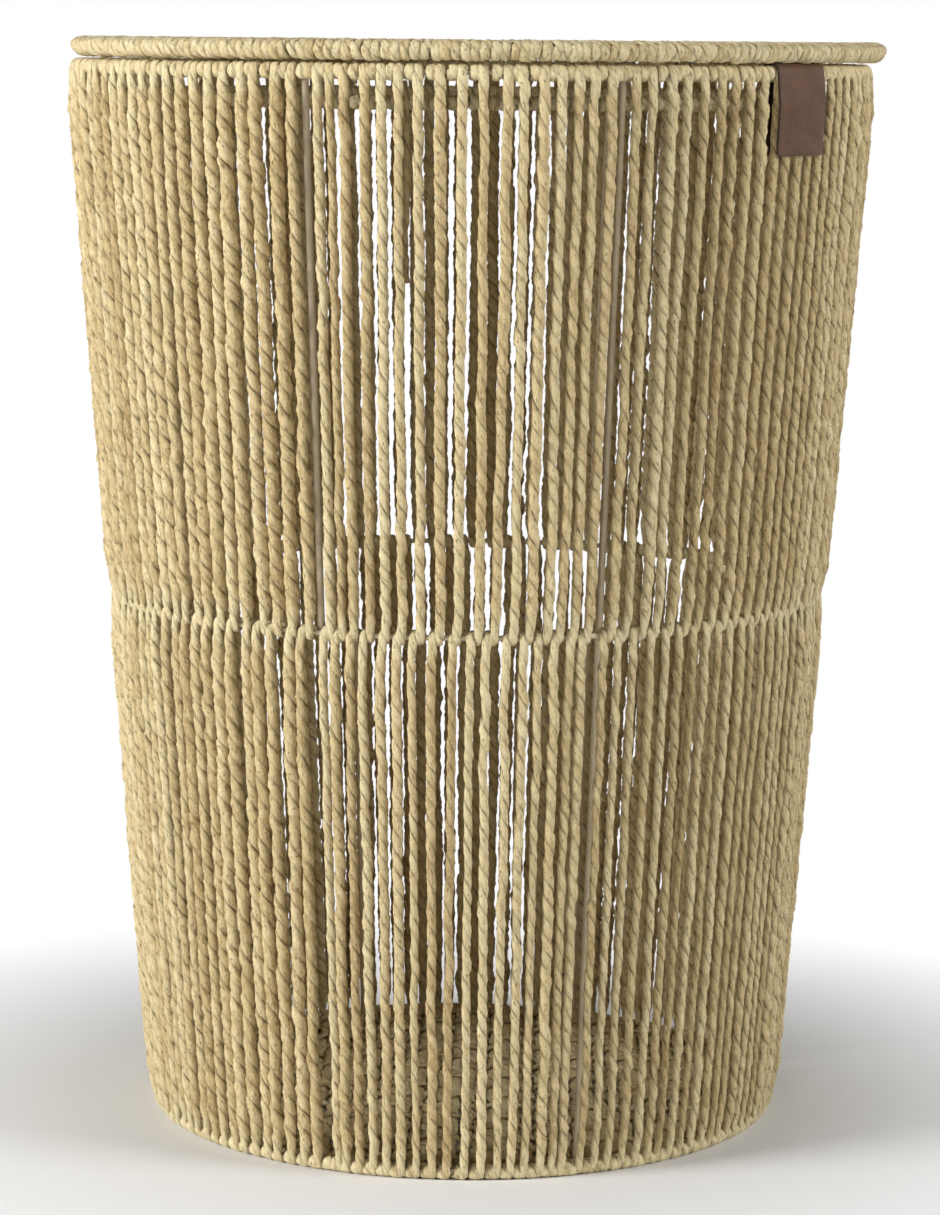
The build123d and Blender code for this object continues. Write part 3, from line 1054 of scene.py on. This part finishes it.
def placeCamera():
    lens = bpy.data.cameras.new("photo_view")
    lens.lens = view["lens"]
    lens.sensor_width = view["sensor"]
    lens.clip_end = view["farthest"]
    camera = bpy.data.objects.new("photo_view", lens)
    bpy.context.scene.collection.objects.link(camera)
    tilt = Matrix.Rotation(np.radians(90 - view["tilt"]), 4, "X")
    roll = Matrix.Rotation(np.radians(view["roll"]), 4, "Z")
    turn = Matrix.Rotation(np.radians(view["turn"]), 4, "Z")
    camera.matrix_world = turn @ Matrix.Translation(view["place"]) @ tilt @ roll
    bpy.context.scene.camera = camera


def placeLamp(name, place, size, power):
    lamp = bpy.data.lights.new(name, "AREA")
    lamp.shape = "DISK"
    lamp.size = size
    lamp.energy = power
    holder = bpy.data.objects.new(name, lamp)
    bpy.context.scene.collection.objects.link(holder)
    ahead = np.array(light["aim"]) - np.array(place)
    tilt = np.arctan2(np.hypot(ahead[0], ahead[1]), -ahead[2])
    turn = np.arctan2(ahead[1], ahead[0]) - np.pi / 2
    holder.location = place
    holder.rotation_euler = (tilt, 0, turn)


def seenRays(tree):  # 1 for what the camera sees, also in a reflection or through glass
    rays = addNode(tree, "ShaderNodeLightPath")
    seen = joinValues(tree, "MAXIMUM", rays.outputs["Is Camera Ray"], rays.outputs["Is Glossy Ray"])
    return joinValues(tree, "MAXIMUM", seen, rays.outputs["Is Transmission Ray"])


def lightSky():
    world = bpy.data.worlds.new("studio")
    bpy.context.scene.world = world
    world.use_nodes = True
    tree = world.node_tree
    strength = spread(tree, seenRays(tree), 0, 1, light["skyStrength"], 1.0)
    feedNode(tree, tree.nodes["Background"], {"Color": (1, 1, 1, 1), "Strength": strength})


def makeFloorMaterial():
    material, tree, shader = newMaterial("pale_floor")
    place = addNode(tree, "ShaderNodeNewGeometry").outputs["Position"]
    patch = noiseAt(tree, place, floorLook["patchScale"], detail=2.0)
    patch = spread(tree, patch, *noiseRange, 0, floorLook["patchDepth"])
    tint = mixColour(tree, patch, floorLook["colour"], floorLook["patchColour"])
    feedNode(tree, shader, {"Base Color": tint, "Roughness": 0.9, "Specular IOR Level": 0.1})
    away = addNode(tree, "ShaderNodeVectorMath", {0: place}, operation="LENGTH").outputs["Value"]
    glow = spread(tree, away, floorLook["glowFrom"], floorLook["glowTo"])
    share = joinValues(tree, "MULTIPLY", glow, seenRays(tree))
    plain = addNode(tree, "ShaderNodeEmission", {"Color": (1, 1, 1, 1), "Strength": 1.0})
    ends = {0: share, 1: shader.outputs["BSDF"], 2: plain.outputs["Emission"]}
    mix = addNode(tree, "ShaderNodeMixShader", ends)
    feedNode(tree, tree.nodes["Material Output"], {"Surface": mix.outputs["Shader"]})
    return material


def layFloor():
    half = floorLook["size"] / 2
    corners = [(-half, -half, 0), (half, -half, 0), (half, half, 0), (-half, half, 0)]
    mesh = bpy.data.meshes.new("floor")
    mesh.from_pydata(corners, [], [(0, 1, 2, 3)])
    mesh.materials.append(makeFloorMaterial())
    floor = bpy.data.objects.new("floor", mesh)
    bpy.context.scene.collection.objects.link(floor)


placeCamera()
for name, lamp in light["lamps"].items():
    placeLamp(name, **lamp)
lightSky()
layFloor()
bpy.context.scene.view_settings.view_transform = "Standard"
print("camera and light placed")
